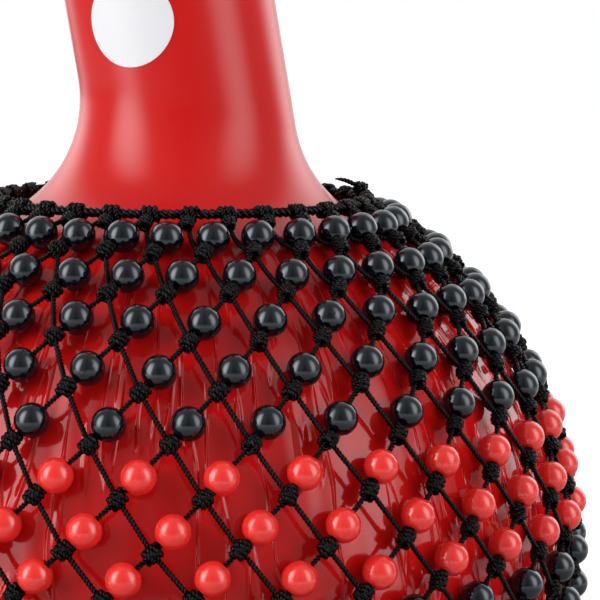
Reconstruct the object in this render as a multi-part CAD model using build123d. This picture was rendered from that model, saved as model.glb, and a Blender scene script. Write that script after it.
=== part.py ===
from build123d import *
from math import asin, cos, pi, radians, sin, sqrt
import os

# Sizes of the gourd shell, in millimetres and degrees
shell_radius = 121.0
shell_wall = 3.0
base_radius = 45.0
neck_radius = 32.6
shoulder_blend = 40.0
neck_lean = 10.0
neck_shift = 7.0
neck_straight = 75.0
neck_length = 122.0
mouth_radius = 40.5
rim_thickness = 4.0

# Sizes of the blank round sticker on the neck
label_radius = 13.7
label_thickness = 0.3
label_height = 59.0
label_turn = 24.0

# Sizes of the beads and cords
bead_diameter = 10.0
bead_bore = 2.2
bead_gap = 0.4
cord_diameter = 1.6
knot_diameter = 5.2
knot_length = 5.8
knot_end = 2.8
bare_sag = 2.6
sag_loss = 0.4
least_sag = 0.8
first_bow = 1.3
ring_diameter = 2.5
hitch_diameter = 4.4
hitch_length = 4.6
tie_diameter = 5.4
tail_length = 9.0

# Layout of the net
columns = 32
rows = 17
collar_latitude = 62.2
first_angle = 8.2
row_angle = 7.35
angle_loss = 1.5
collar_turn = 0.18
skew_turn = 0.115
skew_turn_gain = 0.31

# Places that follow from the sizes
base_depth = sqrt(shell_radius ** 2 - base_radius ** 2)
bead_radius = bead_diameter / 2
bead_path = shell_radius + bead_gap + bead_radius
link_guess = shell_radius * radians(row_angle) * 1.2
net_radius = bead_path + link_guess ** 2 / (8 * bead_path)
collar_height = net_radius * sin(radians(collar_latitude))
neck_frame = Plane((neck_shift, 0, collar_height)).rotated((0, -neck_lean, 0))


def along(origin, direction):
    return Plane(origin=origin, z_dir=direction)


def barrel(place, length, diameter, end_diameter):
    """A short turned body, thickest at its middle, with flat ends."""
    top = (end_diameter / 2, length / 2)
    bottom = (end_diameter / 2, -length / 2)
    side = ThreePointArc(bottom, (diameter / 2, 0), top)
    rest = Polyline(top, (0, length / 2), (0, -length / 2), bottom)
    return place * revolve(Plane.XZ * make_face(side + rest), axis=Axis.Z)


def straight_cord(start, end, diameter):
    lift = (Align.CENTER, Align.CENTER, Align.MIN)
    return along(start, end - start) * Cylinder(diameter / 2, (end - start).length, align=lift)


def sagging_cord(start, end, diameter, sag, bow):
    """A cord that curves towards the shell between its ends, and to the left round a bead beside it."""
    middle = (start + end) * 0.5
    outward = middle.normalized()
    left = (end - start).normalized().cross(outward)
    path = ThreePointArc(start, middle - outward * sag + left * bow, end)
    return sweep(along(path @ 0, path % 0) * Circle(diameter / 2), path=path)


def bottle(inset, extra):
    """The round body with its leaning neck, set in by a wall thickness and longer by a little at the top."""
    ball = Sphere(shell_radius - inset)
    radius = neck_radius - inset
    mouth = mouth_radius - inset
    rise = neck_length - neck_straight
    spread = mouth - radius
    sweep_radius = (spread ** 2 + rise ** 2) / (2 * spread)
    half_turn = asin(rise / sweep_radius) / 2
    halfway = (radius + sweep_radius * (1 - cos(half_turn)), neck_straight + sweep_radius * sin(half_turn))
    foot = -shell_radius / 2
    wall = Polyline((0, foot), (radius, foot), (radius, neck_straight))
    flare = ThreePointArc((radius, neck_straight), halfway, (mouth, neck_length))
    lid = Polyline((mouth, neck_length), (mouth, neck_length + extra), (0, neck_length + extra), (0, foot))
    neck = neck_frame * revolve(Plane.XZ * make_face(wall + flare + lid), axis=Axis.Z)
    body = ball + neck
    seam_height = sqrt((shell_radius - inset) ** 2 - radius ** 2)
    seam = body.edges().sort_by(lambda edge: abs(edge.center().Z - seam_height))[0]
    body = fillet(seam, shoulder_blend + inset)
    below = (Align.CENTER, Align.CENTER, Align.MAX)
    floor_block = Box(3 * shell_radius, 3 * shell_radius, shell_radius, align=below)
    return body - Pos(0, 0, inset - base_depth) * floor_block


# Shell and sticker
rim = neck_frame * Pos(0, 0, neck_length) * Torus(mouth_radius - shell_wall / 2, rim_thickness / 2)
shell = bottle(0, rim_thickness / 8) - bottle(shell_wall, rim_thickness) + rim

label_face = (-sin(radians(label_turn)), -cos(radians(label_turn)), 0)
label_way = Plane((0, 0, label_height), x_dir=(1, 0, 0), z_dir=label_face)
label_plug = label_way * extrude(Circle(label_radius), 4 * neck_radius)
label_reach = 2 * (label_height + 2 * label_radius)
label_skin = Cylinder(neck_radius + label_thickness, label_reach) - Cylinder(neck_radius, label_reach)
label = neck_frame * (label_skin & label_plug)

# Heights and turns of the net's levels, from the collar down
latitudes = [collar_latitude]
turns = [collar_turn]
for row in range(rows):
    step = first_angle if row == 0 else row_angle
    breadth = cos(radians(latitudes[-1] - step / 2))
    latitudes.append(latitudes[-1] - step + angle_loss * breadth ** 14)
    turns.append(turns[-1] + skew_turn + skew_turn_gain * breadth)


def net_point(level, column):
    height = radians(latitudes[level])
    turn = 2 * pi * (turns[level] + column) / columns
    flat = net_radius * cos(height)
    return Vector(flat * cos(turn), flat * sin(turn), net_radius * sin(height))


def ring_place(level, column):
    """A frame whose axis follows the ring cord of a level."""
    spot = net_point(level, column)
    return along(spot, Vector(-spot.Y, spot.X, 0))


def ring_cord(level):
    spot = net_point(level, 0)
    return Pos(0, 0, spot.Z) * Torus(sqrt(spot.X ** 2 + spot.Y ** 2), ring_diameter / 2)


def hitch_body(level, column):
    return barrel(ring_place(level, column), hitch_length, hitch_diameter, ring_diameter + 0.6)


def knot_body(level, column):
    spot = net_point(level, column)
    return barrel(along(spot, net_point(level - 1, column + 1) - spot), knot_length, knot_diameter, knot_end)


def join_body(level, column):
    return hitch_body(level, column) if level in (0, rows) else knot_body(level, column)


def around(shapes):
    """Copies of one column's pieces, set round the whole net."""
    pieces = []
    for column in range(columns):
        for shape in shapes:
            pieces.extend(solid.moved(Rot(0, 0, 360 * column / columns)) for solid in shape.solids())
    return pieces


def tie_body(level, column, up):
    """A double knot on the ring cord between two hitches, with one cut tail."""
    spot = net_point(level, column)
    inward = Vector(-spot.X, -spot.Y, 0).normalized()
    first = Pos(spot) * Sphere(tie_diameter / 2)
    perch = spot + Vector(0, 0, up * 0.55 * tie_diameter) + inward * 0.2 * tie_diameter
    second = Pos(perch) * Sphere(0.42 * tie_diameter)
    tip = perch + (inward + Vector(0, 0, up * 0.35)).normalized() * tail_length
    tail = along(perch, tip - perch) * Cone(cord_diameter / 2, cord_diameter / 6, tail_length,
                                            align=(Align.CENTER, Align.CENTER, Align.MIN))
    return first + second + tail - ring_cord(level)


os.makedirs("parts", exist_ok=True)


def save(name, shapes):
    raised = [solid.moved(Pos(0, 0, base_depth)) for solid in shapes]
    export_step(raised[0] if len(raised) == 1 else Compound(children=raised), f"parts/{name}.step")


save("gourd_shell", shell.solids())
save("label_disc", label.solids())

# Collar and bottom rings with their hitches and ties
for ring_name, level, up in (("collar", 0, 1), ("bottom", rows, -1)):
    save(f"{ring_name}_cord", ring_cord(level).solids())
    save(f"{ring_name}_hitches", around([hitch_body(level, 0) - ring_cord(level)]))
    save(f"{ring_name}_tie", tie_body(level, 0.5, up).solids())

# Rows of knotted cord and beads
for row in range(1, rows + 1):
    foot = net_point(row, 0)
    left_head = net_point(row - 1, 0)
    right_head = net_point(row - 1, 1)
    bow = first_bow if row == 1 else 0
    sag = max(bare_sag - sag_loss * (row - 1), least_sag)
    bare = sagging_cord(left_head, foot, cord_diameter, sag, bow) - join_body(row - 1, 0)
    lace = straight_cord(right_head, foot, cord_diameter) - join_body(row - 1, 1)
    if row == rows:
        strands = [bare - join_body(row, 0), lace - join_body(row, 0)]
    else:
        strands = [join_body(row, 0) + bare + lace]
    save(f"net_row_{row:02d}", around(strands))

    rest = knot_length / 2 + 0.4 * ring_diameter if row == rows else knot_length / 2
    bead_place = (right_head - foot).normalized() * (rest + sqrt(bead_radius ** 2 - bead_bore ** 2 / 4))
    bead_body = Sphere(bead_radius) - Cylinder(bead_bore / 2, bead_diameter)
    bead = along(foot + bead_place, right_head - foot) * bead_body
    save(f"bead_row_{row:02d}", around([bead]))
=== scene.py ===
"""A shekere seen close: glossy red gourd shell, black knotted cord net, black and red beads."""

import bpy
import numpy as np
from mathutils import Matrix, Vector


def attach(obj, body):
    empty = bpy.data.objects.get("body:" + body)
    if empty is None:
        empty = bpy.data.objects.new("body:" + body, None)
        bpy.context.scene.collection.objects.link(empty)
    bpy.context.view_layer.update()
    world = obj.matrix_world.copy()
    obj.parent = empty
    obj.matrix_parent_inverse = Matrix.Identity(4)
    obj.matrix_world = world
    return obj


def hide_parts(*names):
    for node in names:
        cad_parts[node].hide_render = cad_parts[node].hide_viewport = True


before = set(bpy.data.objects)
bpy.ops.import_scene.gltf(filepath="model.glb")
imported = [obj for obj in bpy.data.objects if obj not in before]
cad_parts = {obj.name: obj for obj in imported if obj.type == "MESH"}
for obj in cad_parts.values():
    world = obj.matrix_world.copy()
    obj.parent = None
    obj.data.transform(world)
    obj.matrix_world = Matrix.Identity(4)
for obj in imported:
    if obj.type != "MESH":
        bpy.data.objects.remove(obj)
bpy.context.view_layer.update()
chance = np.random.default_rng(11)

# Sizes and counts shared with the solids, in millimetres and degrees
shell_radius = 121.0
shell_wall = 3.0
base_radius = 45.0
neck_radius = 32.6
shoulder_blend = 40.0
neck_lean = 10.0
neck_shift = 7.0
neck_straight = 75.0
neck_length = 122.0
mouth_radius = 40.5
rim_thickness = 4.0
bead_radius = 5.0
bead_bore = 2.2
bead_gap = 0.4
knot_length = 5.8
ring_diameter = 2.5
tail_length = 9.0
columns = 32
rows = 17
collar_latitude = 62.2
first_angle = 8.2
row_angle = 7.35
angle_loss = 1.5
loss_power = 14
link_stretch = 1.2
collar_turn = 0.18
skew_turn = 0.115
skew_turn_gain = 0.31
first_bow = 1.3
red_rows = (6, 7, 8)

# Drawn shell: counts of points round it and along it, and where the walls end below the rim
azimuth_count = 216
ball_rings = 110
blend_rings = 50
neck_rings = 24
rim_rings = 22
rim_overlap = 1.5
rim_sweep = (-50, 230)
floor_radii = (0.3, 15, 30, 40)
floor_edge_insets = (0.6, 0.15)

# Drawn cords, which hang a little straighter than the solids
bare_sag = 2.2
sag_loss = 1.0
least_sag = 0.2
strand_radius = 0.42
strand_offset = 0.47
strand_pitch = 3.4
strand_sides = 5
rope_width = 1.64
ring_fullness = 1.2
link_steps = 40
ring_steps = 640

# Drawn knots of the net: wraps round the bead link, and one loop laid across them
knot_loose = 0.5
knot_sway = 0.12
coil_radius = 1.9
coil_pitch = 1.35
coil_turns = 3.7
coil_steps = 84
loop_lift = 0.3
loop_lean = 1.1
loop_spread = 0.2
loop_pitch = 0.9
loop_turns = 1.2
loop_steps = 44
loop_thickness = 0.85

# Drawn hitches on the ring cords, and the small knot below each collar hitch
hitch_spread = 0.6
hitch_pitch = 1.65
hitch_turns = 3.0
hitch_steps = 80
hitch_drop = 4.2
drop_radius = 1.5
drop_pitch = 1.2
drop_turns = 3.2

# Drawn ties: a knot round the ring cord, a second one perched on it, and a cut tail
tie_spread = 0.9
tie_pitch = 1.5
tie_turns = 2.6
tie_steps = 70
tie_thickness = 1.1
perch_rise = 3.0
perch_inset = 1.1
perch_radius = 1.5
perch_pitch = 1.4
perch_lean = 0.2
tail_lift = 0.35
tail_wave = 0.8
tail_bend = 3.0
tail_taper = 0.8
taper_power = 4

# Drawn beads: softened hole edges, a faint mould seam, and play along the cord
hole_soft = 0.35
bevel_width = 0.1
bevel_drop = 0.02
bevel_depth = 0.3
bead_arcs = 19
bead_sides = 32
seam_half_angle = 0.014
seam_height = 1.0012
bead_play = 0.6

base_depth = np.sqrt(shell_radius ** 2 - base_radius ** 2)
bead_path = shell_radius + bead_gap + bead_radius
link_guess = link_stretch * shell_radius * np.radians(row_angle)
net_radius = bead_path + link_guess ** 2 / (8 * bead_path)
collar_height = net_radius * np.sin(np.radians(collar_latitude))
ring_stand_off = 0.4 * ring_diameter


# Mesh helpers
def unit(vectors):
    return vectors / np.linalg.norm(vectors, axis=-1, keepdims=True)


def turned(points, angle):
    """Points turned about the upright axis."""
    c, s = np.cos(angle), np.sin(angle)
    x, y, z = np.moveaxis(points, -1, 0)
    return np.stack([c * x - s * y, s * x + c * y, z + 0 * x], -1)


def add_object(name, parts, material, body, nodes):
    """One object from a list of (points, faces), with points in millimetres from the ball's centre."""
    points, faces, start = [], [], 0
    for spots, cells in parts:
        points.append(spots.reshape(-1, 3))
        faces.append(cells + start)
        start += len(points[-1])
    points = np.concatenate(points)
    points[:, 2] += base_depth
    faces = np.concatenate(faces)
    mesh = bpy.data.meshes.new(name)
    mesh.vertices.add(len(points))
    mesh.vertices.foreach_set("co", (points * 0.001).ravel())
    mesh.loops.add(faces.size)
    mesh.loops.foreach_set("vertex_index", faces.ravel())
    mesh.polygons.add(len(faces))
    mesh.polygons.foreach_set("loop_start", np.arange(0, faces.size, faces.shape[1]))
    mesh.polygons.foreach_set("use_smooth", np.ones(len(faces), bool))
    mesh.update(calc_edges=True)
    mesh.validate()
    mesh.materials.append(material)
    thing = bpy.data.objects.new(name, mesh)
    bpy.context.scene.collection.objects.link(thing)
    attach(thing, body)
    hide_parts(*nodes)


def add_cords(name, parts, node):
    add_object(name, parts, cord_black, "net", [node])


def grid_faces(rings, sides, closed_rings=False):
    """Quads over rings that each close on themselves."""
    ring = np.arange(rings if closed_rings else rings - 1)[:, None]
    side = np.arange(sides)[None, :]
    upper = (ring + 1) % rings
    after = (side + 1) % sides
    quads = [ring * sides + side, ring * sides + after, upper * sides + after, upper * sides + side]
    return np.stack(np.broadcast_arrays(*quads), -1).reshape(-1, 4)


def tubes(paths, normals, radius, sides, closed=False):
    """Round tubes along many paths at once: paths and normals are (count, steps, 3)."""
    if closed:
        forward = unit(np.roll(paths, -1, 1) - np.roll(paths, 1, 1))
    else:
        forward = unit(np.gradient(paths, axis=1))
    out = unit(normals - forward * (normals * forward).sum(-1, keepdims=True))
    across = np.cross(forward, out)
    angle = np.linspace(0, 2 * np.pi, sides, endpoint=False)
    radius = np.broadcast_to(np.asarray(radius, float), paths.shape[:2])[..., None, None]
    around = np.cos(angle)[:, None] * out[:, :, None] + np.sin(angle)[:, None] * across[:, :, None]
    rings = paths[:, :, None] + radius * around
    count, steps = paths.shape[:2]
    cells = grid_faces(steps, sides, closed)
    block = steps * sides
    faces = (cells[None] + np.arange(count)[:, None, None] * block).reshape(-1, 4)
    return rings.reshape(count * block, 3), faces


def ropes(paths, normals, thickness=1.0, closed=False, taper=None):
    """Three strands laid round each path, as a twisted cord has."""
    pitch = strand_pitch * thickness
    steps = np.linalg.norm(np.diff(paths, axis=1), axis=-1)
    run = np.concatenate([np.zeros((len(paths), 1)), np.cumsum(steps, 1)], 1)
    forward = unit(np.gradient(paths, axis=1))
    out = unit(normals - forward * (normals * forward).sum(-1, keepdims=True))
    across = np.cross(forward, out)
    parts = []
    begin = chance.uniform(0, 2 * np.pi, (len(paths), 1))
    if closed:
        total = run[:, -1:] + np.linalg.norm(paths[:, 0] - paths[:, -1], axis=-1)[:, None]
        pitch = total / np.round(total / pitch)
    width = np.ones(paths.shape[:2]) if taper is None else np.broadcast_to(taper, paths.shape[:2])
    for strand in range(3):
        angle = (begin + 2 * np.pi * (run / pitch + strand / 3))[..., None]
        away = np.cos(angle) * out + np.sin(angle) * across
        centre = paths + away * (strand_offset * thickness * width)[..., None]
        parts.append(tubes(centre, away, strand_radius * thickness * width, strand_sides, closed))
    return parts


def wrapped(centres, axes, outs, radius, pitch, turns, steps, thickness=1.0, squeeze=0.25):
    """Cords wound round many axes as helices, drawn in at both ends by the squeeze."""
    axes = unit(axes)
    outs = unit(outs - axes * (outs * axes).sum(-1, keepdims=True))
    across = np.cross(axes, outs)
    part = np.linspace(0, 1, steps)
    begin = chance.uniform(0, 2 * np.pi, len(centres))[:, None]
    angle = (begin + 2 * np.pi * turns * part)[..., None]
    along = ((part - 0.5) * turns * pitch)[None, :, None]
    narrow = (1 - squeeze * (2 * part - 1) ** 2)[None, :, None]
    away = np.cos(angle) * outs[:, None] + np.sin(angle) * across[:, None]
    paths = centres[:, None] + along * axes[:, None] + radius * narrow * away
    return ropes(paths, away, thickness)


# Shader helpers
def join(tree, value, socket):
    """A number set on a socket, or another node's output led into it."""
    if isinstance(value, (int, float)):
        socket.default_value = value
    else:
        tree.links.new(value, socket)


def math_node(tree, operation, first, second=0.0):
    node = tree.nodes.new("ShaderNodeMath")
    node.operation = operation
    join(tree, first, node.inputs[0])
    join(tree, second, node.inputs[1])
    return node.outputs["Value"]


def vector_node(tree, operation, first, second=None):
    node = tree.nodes.new("ShaderNodeVectorMath")
    node.operation = operation
    tree.links.new(first, node.inputs[0])
    if second is not None:
        tree.links.new(second, node.inputs[1])
    return node.outputs["Value" if operation == "LENGTH" else "Vector"]


def ramp(tree, value, from_span, to_span, smooth=True):
    """A value carried from one span to another, easing at both ends where it is smooth."""
    node = tree.nodes.new("ShaderNodeMapRange")
    node.interpolation_type = "SMOOTHSTEP" if smooth else "LINEAR"
    node.inputs["From Min"].default_value, node.inputs["From Max"].default_value = from_span
    node.inputs["To Min"].default_value, node.inputs["To Max"].default_value = to_span
    tree.links.new(value, node.inputs["Value"])
    return node.outputs["Result"]


def object_place(tree):
    return tree.nodes.new("ShaderNodeTexCoord").outputs["Object"]


def noise_value(tree, place, scale, detail=2.0):
    noise = tree.nodes.new("ShaderNodeTexNoise")
    noise.inputs["Scale"].default_value = scale
    noise.inputs["Detail"].default_value = detail
    tree.links.new(place, noise.inputs["Vector"])
    return noise.outputs["Fac"]


def bump_normal(tree, height, strength, distance, under=None):
    bump = tree.nodes.new("ShaderNodeBump")
    join(tree, strength, bump.inputs["Strength"])
    bump.inputs["Distance"].default_value = distance
    tree.links.new(height, bump.inputs["Height"])
    if under is not None:
        tree.links.new(under, bump.inputs["Normal"])
    return bump.outputs["Normal"]


def make_material(name, colour, roughness, specular):
    material = bpy.data.materials.new(name)
    material.use_nodes = True
    shader = material.node_tree.nodes["Principled BSDF"]
    shader.inputs["Base Color"].default_value = (*colour, 1)
    shader.inputs["Roughness"].default_value = roughness
    shader.inputs["Specular IOR Level"].default_value = specular
    return material, material.node_tree, shader


# Lacquer: slow change of its ripples with height, scales of swells and runs, and where they fade out
ripple_stretch = 1.4
swell_scale, swell_detail = 10, 1.0
run_scale, run_detail = 12, 1.5
run_width = 0.04
run_share = 0.3
fade_shares = (0.75, 0.98)

# Plastic and cord: scale of the drift in roughness, and depth of the grain in metres
drift_scale = 300
grain_depth = 0.0001


# Materials
def lacquer(name, colour, specular, depth, ball_roughness, neck_roughness):
    """Lacquer with fine upright ripples and runs on the ball, smooth and less glossy above the collar."""
    material, tree, shader = make_material(name, colour, ball_roughness, specular)
    place = object_place(tree)
    split = tree.nodes.new("ShaderNodeSeparateXYZ")
    tree.links.new(place, split.inputs["Vector"])
    flat = tree.nodes.new("ShaderNodeCombineXYZ")
    tree.links.new(split.outputs["X"], flat.inputs["X"])
    tree.links.new(split.outputs["Y"], flat.inputs["Y"])
    bearing = vector_node(tree, "NORMALIZE", flat.outputs["Vector"])
    level = tree.nodes.new("ShaderNodeCombineXYZ")
    tree.links.new(math_node(tree, "MULTIPLY", split.outputs["Z"], ripple_stretch), level.inputs["Z"])
    upright = vector_node(tree, "ADD", bearing, level.outputs["Vector"])
    heights = [0.001 * (base_depth + share * collar_height) for share in fade_shares]
    below_collar = ramp(tree, split.outputs["Z"], heights, (1.0, 0.0), smooth=False)

    # Broad swells, then thin raised runs along the lines where a second noise crosses its middle value
    swell = noise_value(tree, upright, swell_scale, swell_detail)
    broad = bump_normal(tree, swell, below_collar, depth)
    course = math_node(tree, "SUBTRACT", noise_value(tree, upright, run_scale, run_detail), 0.5)
    run = ramp(tree, math_node(tree, "ABSOLUTE", course), (0.0, run_width), (1.0, 0.0))
    thin = bump_normal(tree, run, below_collar, run_share * depth, broad)
    tree.links.new(thin, shader.inputs["Normal"])
    polish = ramp(tree, below_collar, (0, 1), (neck_roughness, ball_roughness), smooth=False)
    tree.links.new(polish, shader.inputs["Roughness"])
    return material


def bead_plastic(name, colour, specular, tint, low, high):
    """Glossy plastic whose roughness drifts between two limits over the beads."""
    material, tree, shader = make_material(name, colour, low, specular)
    shader.inputs["Specular Tint"].default_value = (*tint, 1)
    drift = noise_value(tree, object_place(tree), drift_scale)
    tree.links.new(ramp(tree, drift, (0, 1), (low, high), smooth=False), shader.inputs["Roughness"])
    return material


def grained(name, colour, roughness, specular, scale, strength, detail):
    """A surface with fine grain, such as cord or paper."""
    material, tree, shader = make_material(name, colour, roughness, specular)
    height = noise_value(tree, object_place(tree), scale, detail)
    tree.links.new(bump_normal(tree, height, strength, grain_depth), shader.inputs["Normal"])
    return material


shell_red = lacquer("shell_red", (0.56, 0.0073, 0.0064), specular=0.36, depth=0.0012,
                    ball_roughness=0.075, neck_roughness=0.2)
bead_black = bead_plastic("bead_black", (0.002, 0.004, 0.0055), specular=0.74, tint=(0.86, 0.93, 1.0),
                          low=0.07, high=0.12)
bead_red = bead_plastic("bead_red", (0.83, 0.025, 0.018), specular=0.8, tint=(1.0, 1.0, 1.0),
                        low=0.13, high=0.2)
cord_black = grained("cord_black", (0.0008, 0.0009, 0.0012), roughness=0.2, specular=0.2,
                     scale=6000, strength=0.4, detail=3.0)
label_white = grained("label_white", (0.76, 0.76, 0.79), roughness=0.35, specular=0.4,
                      scale=900, strength=0.05, detail=2.0)

# Shell, drawn as a fine grid: base, ball, shoulder, neck, mouth, then back down the inside
azimuths = np.linspace(0, 2 * np.pi, azimuth_count, endpoint=False)
lean = np.radians(neck_lean)
neck_up = np.array([-np.sin(lean), 0, np.cos(lean)])
neck_side = np.array([np.cos(lean), 0, np.sin(lean)])
neck_root = np.array([neck_shift, 0, collar_height])
neck_out = np.cos(azimuths)[:, None] * neck_side + np.sin(azimuths)[:, None] * np.array([0, 1.0, 0])


def between(first, last, steps):
    """Directions swung evenly from one set to another."""
    angle = np.arccos(np.clip((first * last).sum(-1, keepdims=True), -1, 1))
    share = np.linspace(0, 1, steps)[:, None, None]
    return (np.sin((1 - share) * angle) * first + np.sin(share * angle) * last) / np.sin(angle)


def neck_ring(height, radius):
    return neck_root + height * neck_up + radius * neck_out


def wall_rings(inset, top):
    """Rings of one skin of the shell, from the middle of its floor to the top of its neck."""
    ball, neck, blend = shell_radius - inset, neck_radius - inset, shoulder_blend + inset
    mouth = mouth_radius - inset
    floor = inset - base_depth
    start = neck_root + (neck + blend) * neck_out
    lift = (start * neck_up).sum(-1)
    height = np.sqrt(lift ** 2 - (start ** 2).sum(-1) + (ball + blend) ** 2) - lift
    pivot = start + height[:, None] * neck_up
    seat = unit(pivot)
    bearing = np.arctan2(pivot[:, 1], pivot[:, 0])
    flat = np.sqrt(ball ** 2 - floor ** 2)
    level = np.stack([np.cos(bearing), np.sin(bearing), 0 * bearing], -1)
    edge = level * flat + np.array([0, 0, floor])
    sizes = list(floor_radii) + [flat - inset_size for inset_size in floor_edge_insets]
    rings = [level * size + np.array([0, 0, floor]) for size in sizes]
    rings += list(ball * between(unit(edge), seat, ball_rings))
    rings += list(pivot + blend * between(-seat, -neck_out, blend_rings))[1:]
    for share in np.linspace(0, 1, neck_rings)[1:]:
        climb = height + share * (neck_straight - height)
        rings.append(neck_ring(climb[:, None], neck))
    rise, spread = neck_length - neck_straight, mouth - neck
    sweep = (spread ** 2 + rise ** 2) / (2 * spread)
    for step in np.linspace(0, 1, neck_rings)[1:]:
        reach = step * (top - neck_straight)
        rings.append(neck_ring(neck_straight + reach, neck + sweep - np.sqrt(sweep ** 2 - reach ** 2)))
    return rings


def rim_ring(angle):
    height = neck_length + rim_thickness / 2 * np.sin(angle)
    return neck_ring(height, mouth_radius - shell_wall / 2 + rim_thickness / 2 * np.cos(angle))


wall_top = neck_length - rim_overlap
rim = [rim_ring(angle) for angle in np.radians(np.linspace(*rim_sweep, rim_rings))]
shell_rings = wall_rings(0, wall_top) + rim + wall_rings(shell_wall, wall_top)[::-1]
shell_grid = np.stack(shell_rings)
add_object("shell_skin", [(shell_grid, grid_faces(len(shell_rings), len(azimuths)))], shell_red, "gourd",
           ["gourd_shell"])

# Net points, each a little off its even place
latitudes, turns = [collar_latitude], [collar_turn]
for row in range(rows):
    step = first_angle if row == 0 else row_angle
    breadth = np.cos(np.radians(latitudes[-1] - step / 2))
    latitudes.append(latitudes[-1] - step + angle_loss * breadth ** loss_power)
    turns.append(turns[-1] + skew_turn + skew_turn_gain * breadth)


def net_points(level):
    height = np.radians(latitudes[level])
    turn = 2 * np.pi * (turns[level] + np.arange(columns)) / columns
    loose = 0 if level in (0, rows) else knot_loose
    height = height + chance.uniform(-loose, loose, columns) / net_radius
    turn = turn + chance.uniform(-loose, loose, columns) / net_radius / np.cos(height)
    ways = [np.cos(height) * np.cos(turn), np.cos(height) * np.sin(turn), np.sin(height)]
    return net_radius * np.stack(ways, -1)


knots = [net_points(level) for level in range(rows + 1)]


# Net rows
def row_links(row, feet, heads, right_heads):
    """Bare links, curving towards the shell, and the straight links that carry the beads."""
    share = np.linspace(0, 1, link_steps)[None, :, None]
    middle = unit((heads + feet) / 2)[:, None]
    left = np.cross(unit(feet - heads), middle[:, 0])[:, None]
    bow = first_bow if row == 1 else 0
    sag = max(bare_sag - sag_loss * (row - 1), least_sag)
    hang = 4 * share * (1 - share)
    bare = heads[:, None] * (1 - share) + feet[:, None] * share + hang * (left * bow - middle * sag)
    lace = right_heads[:, None] * (1 - share) + feet[:, None] * share
    return ropes(bare, unit(bare)) + ropes(lace, unit(lace))


def row_knots(feet, ways):
    """Wrapped knots where the links meet."""
    outs = unit(feet)
    ways = unit(ways + chance.normal(0, knot_sway, ways.shape))
    parts = wrapped(feet, ways, outs, coil_radius, coil_pitch, coil_turns, coil_steps)
    tilts = unit(ways + loop_lean * np.cross(outs, ways))
    parts += wrapped(feet + loop_lift * outs, tilts, outs, coil_radius + loop_spread, loop_pitch, loop_turns,
                     loop_steps, loop_thickness)
    return parts


def bead_mesh():
    """One bead as turned about its bore, and the height of its hole's edge."""
    hole = bead_bore / 2
    tilt = np.arcsin((hole + hole_soft) / bead_radius)
    lip = bead_radius * np.cos(tilt)
    arc = np.linspace(tilt, np.pi - tilt, bead_arcs)
    edge, inside = lip - bevel_drop, lip - bevel_depth
    profile = [(bead_radius * np.sin(a), bead_radius * np.cos(a)) for a in arc]
    profile += [(hole + bevel_width, -edge), (hole, -inside), (hole, inside), (hole + bevel_width, edge)]
    profile = np.array(profile)
    swing = np.linspace(0, 2 * np.pi, bead_sides, endpoint=False)
    seams = [seam + side * seam_half_angle for seam in (0, np.pi) for side in (-1, 1)]
    swing = np.sort(np.concatenate([swing, seams]))
    ridge = np.where(np.abs(np.sin(swing)) < 0.001, seam_height, 1.0)
    shape = np.stack([profile[:, :1] * ridge * np.cos(swing), profile[:, :1] * ridge * np.sin(swing),
                      np.repeat(profile[:, 1:], len(swing), 1)], -1)
    return shape, grid_faces(len(profile), len(swing), True), lip


bead_shape, bead_faces, bead_lip = bead_mesh()


def draw_beads(row, feet, ways):
    """Beads on the leaning links, each turned by chance about its cord."""
    rest = knot_length / 2 + (ring_stand_off if row == rows else 0) + bead_lip
    slide = chance.uniform(0, bead_play, (columns, 1))
    centres = feet + ways * (rest + slide)
    side = unit(np.cross(ways, unit(centres)))
    spin = chance.uniform(0, 2 * np.pi, (columns, 1))
    first = np.cos(spin) * side + np.sin(spin) * np.cross(ways, side)
    axes = np.stack([first, np.cross(ways, first), ways], 1)
    beads = centres[:, None, None] + np.einsum("abk,ckj->cabj", bead_shape, axes)
    material, slot = (bead_red, "bead_red") if row in red_rows else (bead_black, "bead_black")
    add_object(f"beads_{row:02d}", [(bead, bead_faces) for bead in beads], material, "net",
               [f"bead_row_{row:02d}"])


for row in range(1, rows + 1):
    feet, heads = knots[row], knots[row - 1]
    right_heads = np.roll(heads, -1, 0)
    ways = unit(right_heads - feet)
    parts = row_links(row, feet, heads, right_heads)
    if row < rows:
        parts += row_knots(feet, ways)
    add_cords(f"net_cords_{row:02d}", parts, f"net_row_{row:02d}")
    draw_beads(row, feet, ways)


# Ring cords with their hitches and ties
def ring_circle(spots):
    radius = np.hypot(*spots[0, :2])
    swing = np.linspace(0, 2 * np.pi, ring_steps, endpoint=False)
    return np.stack([radius * np.cos(swing), radius * np.sin(swing), 0 * swing + spots[0, 2]], -1)[None]


def ring_tie(spot, along, up):
    """A double knot on the ring cord, between two hitches, with a tapering tail towards the middle."""
    inward = -unit(spot * np.array([1, 1, 0]))
    rise = np.array([[0, 0, up]])
    perch = spot + rise * perch_rise + inward * perch_inset
    parts = wrapped(spot, along, unit(spot), ring_diameter / 2 + tie_spread, tie_pitch, tie_turns, tie_steps,
                    tie_thickness)
    parts += wrapped(perch, inward + perch_lean * rise, rise, perch_radius, perch_pitch, tie_turns, tie_steps,
                     tie_thickness)
    share = np.linspace(0, 1, link_steps)[None, :, None]
    reach = tail_length * unit(inward + tail_lift * rise)
    tail = perch + share * reach + tail_wave * np.sin(tail_bend * share) * rise
    taper = 1 - tail_taper * share[..., 0] ** taper_power
    parts += ropes(tail, np.broadcast_to(rise[:, None], tail.shape), taper=taper)
    return parts


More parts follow.
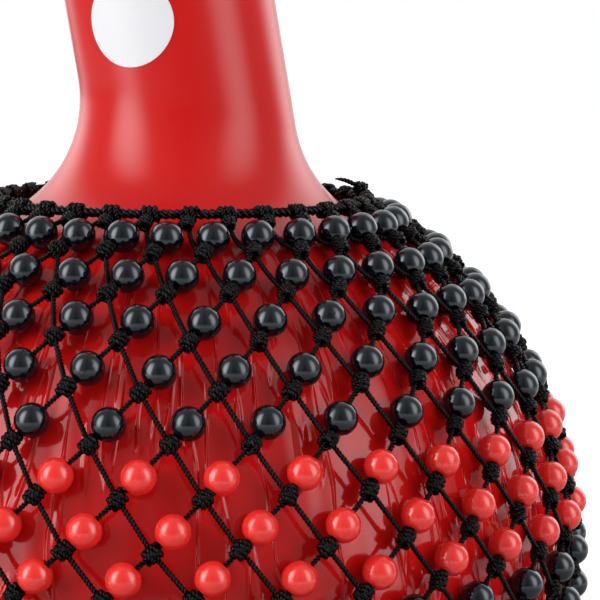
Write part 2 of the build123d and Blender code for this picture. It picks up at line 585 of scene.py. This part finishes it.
for ring_name, level, up in (("collar", 0, 1), ("bottom", rows, -1)):
    spots = knots[level]
    circle = ring_circle(spots)
    parts = ropes(circle, unit(circle), ring_fullness * ring_diameter / rope_width, closed=True)
    add_cords(f"{ring_name}_rope", parts, f"{ring_name}_cord")
    tangents = unit(np.stack([-spots[:, 1], spots[:, 0], 0 * spots[:, 0]], -1))
    parts = wrapped(spots, tangents, unit(spots), ring_diameter / 2 + hitch_spread, hitch_pitch, hitch_turns,
                    hitch_steps, squeeze=0.0)

    # Below each collar hitch the two cords are knotted once more
    if ring_name == "collar":
        fall = unit(unit(knots[1] - spots) + unit(np.roll(knots[1], 1, 0) - spots))
        parts += wrapped(spots + hitch_drop * fall, fall, unit(spots), drop_radius, drop_pitch, drop_turns,
                         hitch_steps)
    add_cords(f"{ring_name}_wraps", parts, f"{ring_name}_hitches")
    half_column = np.pi / columns
    parts = ring_tie(turned(spots[:1], half_column), turned(tangents[:1], half_column), up)
    add_cords(f"{ring_name}_knot", parts, f"{ring_name}_tie")

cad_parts["label_disc"].data.materials.clear()
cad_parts["label_disc"].data.materials.append(label_white)

# Floor, grey near the object and pale further out: the grey is painted shade, which darkens the light the
# floor throws back and its reflection in the beads. A glow seen by the viewer alone, weaker near the object,
# makes the floor look white and adds no light to the object
floor_reach = (0.2, 0.75)
# Base colour near the object and further out: the grey near the object is painted shade
floor_painted_shade_colour = (0.42, 0.95)
floor_glow = (0.38, 0.7)
bpy.ops.mesh.primitive_circle_add(vertices=96, radius=6.0, fill_type="NGON", location=(0, 0, 0))
floor = bpy.context.object
floor.name = "floor"
floor_with_painted_shade, tree, shader = make_material("floor_with_painted_shade", (0.9, 0.9, 0.9), roughness=0.8, specular=0.0)
reach = vector_node(tree, "LENGTH", object_place(tree))
# Painted shade: the base colour runs from grey near the object to pale further out
tree.links.new(ramp(tree, reach, floor_reach, floor_painted_shade_colour), shader.inputs["Base Color"])
seen = tree.nodes.new("ShaderNodeLightPath").outputs["Is Camera Ray"]
glow = math_node(tree, "MULTIPLY", ramp(tree, reach, floor_reach, floor_glow), seen)
tree.links.new(glow, shader.inputs["Emission Strength"])
shader.inputs["Emission Color"].default_value = (1, 1, 1, 1)
floor.data.materials.append(floor_with_painted_shade)

# Even room light, dimmer straight behind the viewer; the backdrop is white to the viewer and in reflections
overhead_share = 0.4
room_reach = (0.1, 0.65)
room_level = (0.16, 0.44)
mirror_gain = 1.6
world = bpy.data.worlds.new("studio")
bpy.context.scene.world = world
world.use_nodes = True
tree = world.node_tree
split = tree.nodes.new("ShaderNodeSeparateXYZ")
tree.links.new(tree.nodes.new("ShaderNodeTexCoord").outputs["Generated"], split.inputs["Vector"])
sideways = math_node(tree, "ABSOLUTE", split.outputs["X"])
behind = math_node(tree, "MAXIMUM", split.outputs["Y"], 0.0)
overhead = math_node(tree, "MULTIPLY", math_node(tree, "MAXIMUM", split.outputs["Z"], 0.0), overhead_share)
away = math_node(tree, "ADD", sideways, math_node(tree, "ADD", behind, overhead))
room = ramp(tree, away, room_reach, room_level)
rays = tree.nodes.new("ShaderNodeLightPath")
mirrored = math_node(tree, "MINIMUM", math_node(tree, "MULTIPLY", behind, mirror_gain), 1.0)
mirrored = math_node(tree, "MULTIPLY", mirrored, rays.outputs["Is Glossy Ray"])
backdrop = math_node(tree, "MAXIMUM", room, rays.outputs["Is Camera Ray"])
backdrop = math_node(tree, "MAXIMUM", backdrop, mirrored)
tree.nodes["Background"].inputs["Color"].default_value = (1, 1, 1, 1)
tree.links.new(backdrop, tree.nodes["Background"].inputs["Strength"])

# Soft panels of light, set round the ball at bearings from the viewer's side
ball_centre = Vector((0, 0, base_depth * 0.001))
panel_height = 0.5
panel_distance = 1.2


def panel_light(name, strength):
    """Light of a soft panel, brightest in the middle and fading to nothing at the edges."""
    material = bpy.data.materials.new(name)
    material.use_nodes = True
    tree = material.node_tree
    tree.nodes.remove(tree.nodes["Principled BSDF"])
    glow = tree.nodes.new("ShaderNodeEmission")
    clear = tree.nodes.new("ShaderNodeBsdfTransparent")
    both = tree.nodes.new("ShaderNodeAddShader")
    reach = vector_node(tree, "LENGTH", object_place(tree))
    tree.links.new(ramp(tree, reach, (1.0, 0.1), (0.0, strength)), glow.inputs["Strength"])
    tree.links.new(glow.outputs["Emission"], both.inputs[0])
    tree.links.new(clear.outputs["BSDF"], both.inputs[1])
    tree.links.new(both.outputs["Shader"], tree.nodes["Material Output"].inputs["Surface"])
    return material


def soft_panel(name, bearing, width, tall, strength):
    """A tall oval of light that faces the object."""
    angle = np.radians(bearing)
    across, back = panel_distance * np.sin(angle), -panel_distance * np.cos(angle)
    spot = ball_centre + Vector((across, back, panel_height))
    bpy.ops.mesh.primitive_circle_add(vertices=48, radius=1.0, fill_type="NGON", location=spot)
    panel = bpy.context.object
    panel.name = name
    panel.scale = (width / 2, tall / 2, 1)
    panel.rotation_euler = (ball_centre - spot).to_track_quat("Z", "Y").to_euler()
    panel.data.materials.append(panel_light(name, strength))
    panel.visible_camera = False


soft_panel("left_panel", bearing=-62, width=1.2, tall=2.6, strength=5.8)
soft_panel("right_panel", bearing=58, width=1.2, tall=2.6, strength=3.3)
soft_panel("right_back_panel", bearing=132, width=1.2, tall=2.0, strength=1.7)
soft_panel("left_back_panel", bearing=-138, width=1.0, tall=2.0, strength=1.3)

# Camera, set as the photograph was taken: metres from the ball's centre, radians, and focal length in pixels
distance, height, yaw, pitch, roll, focal = 0.7589, 0.1730, 0.0499, 0.1222, 0.0096, 2388.0
picture_width = 600.0
sensor_width = 36.0
forward = Vector((np.sin(yaw) * np.cos(pitch), np.cos(yaw) * np.cos(pitch), -np.sin(pitch)))
right = Vector((np.cos(yaw), -np.sin(yaw), 0))
above = right.cross(forward)
side = np.cos(roll) * right + np.sin(roll) * above
above = np.cos(roll) * above - np.sin(roll) * right
camera = bpy.data.objects.new("camera", bpy.data.cameras.new("camera"))
bpy.context.scene.collection.objects.link(camera)
camera.data.sensor_width = sensor_width
camera.data.lens = focal * sensor_width / picture_width
turn = Matrix((side, above, -forward)).transposed()
camera.matrix_world = Matrix.Translation(ball_centre + Vector((0, -distance, height))) @ turn.to_4x4()
camera.data.clip_start, camera.data.clip_end = 0.01, 50
bpy.context.scene.camera = camera
bpy.context.scene.view_settings.view_transform = "Standard"
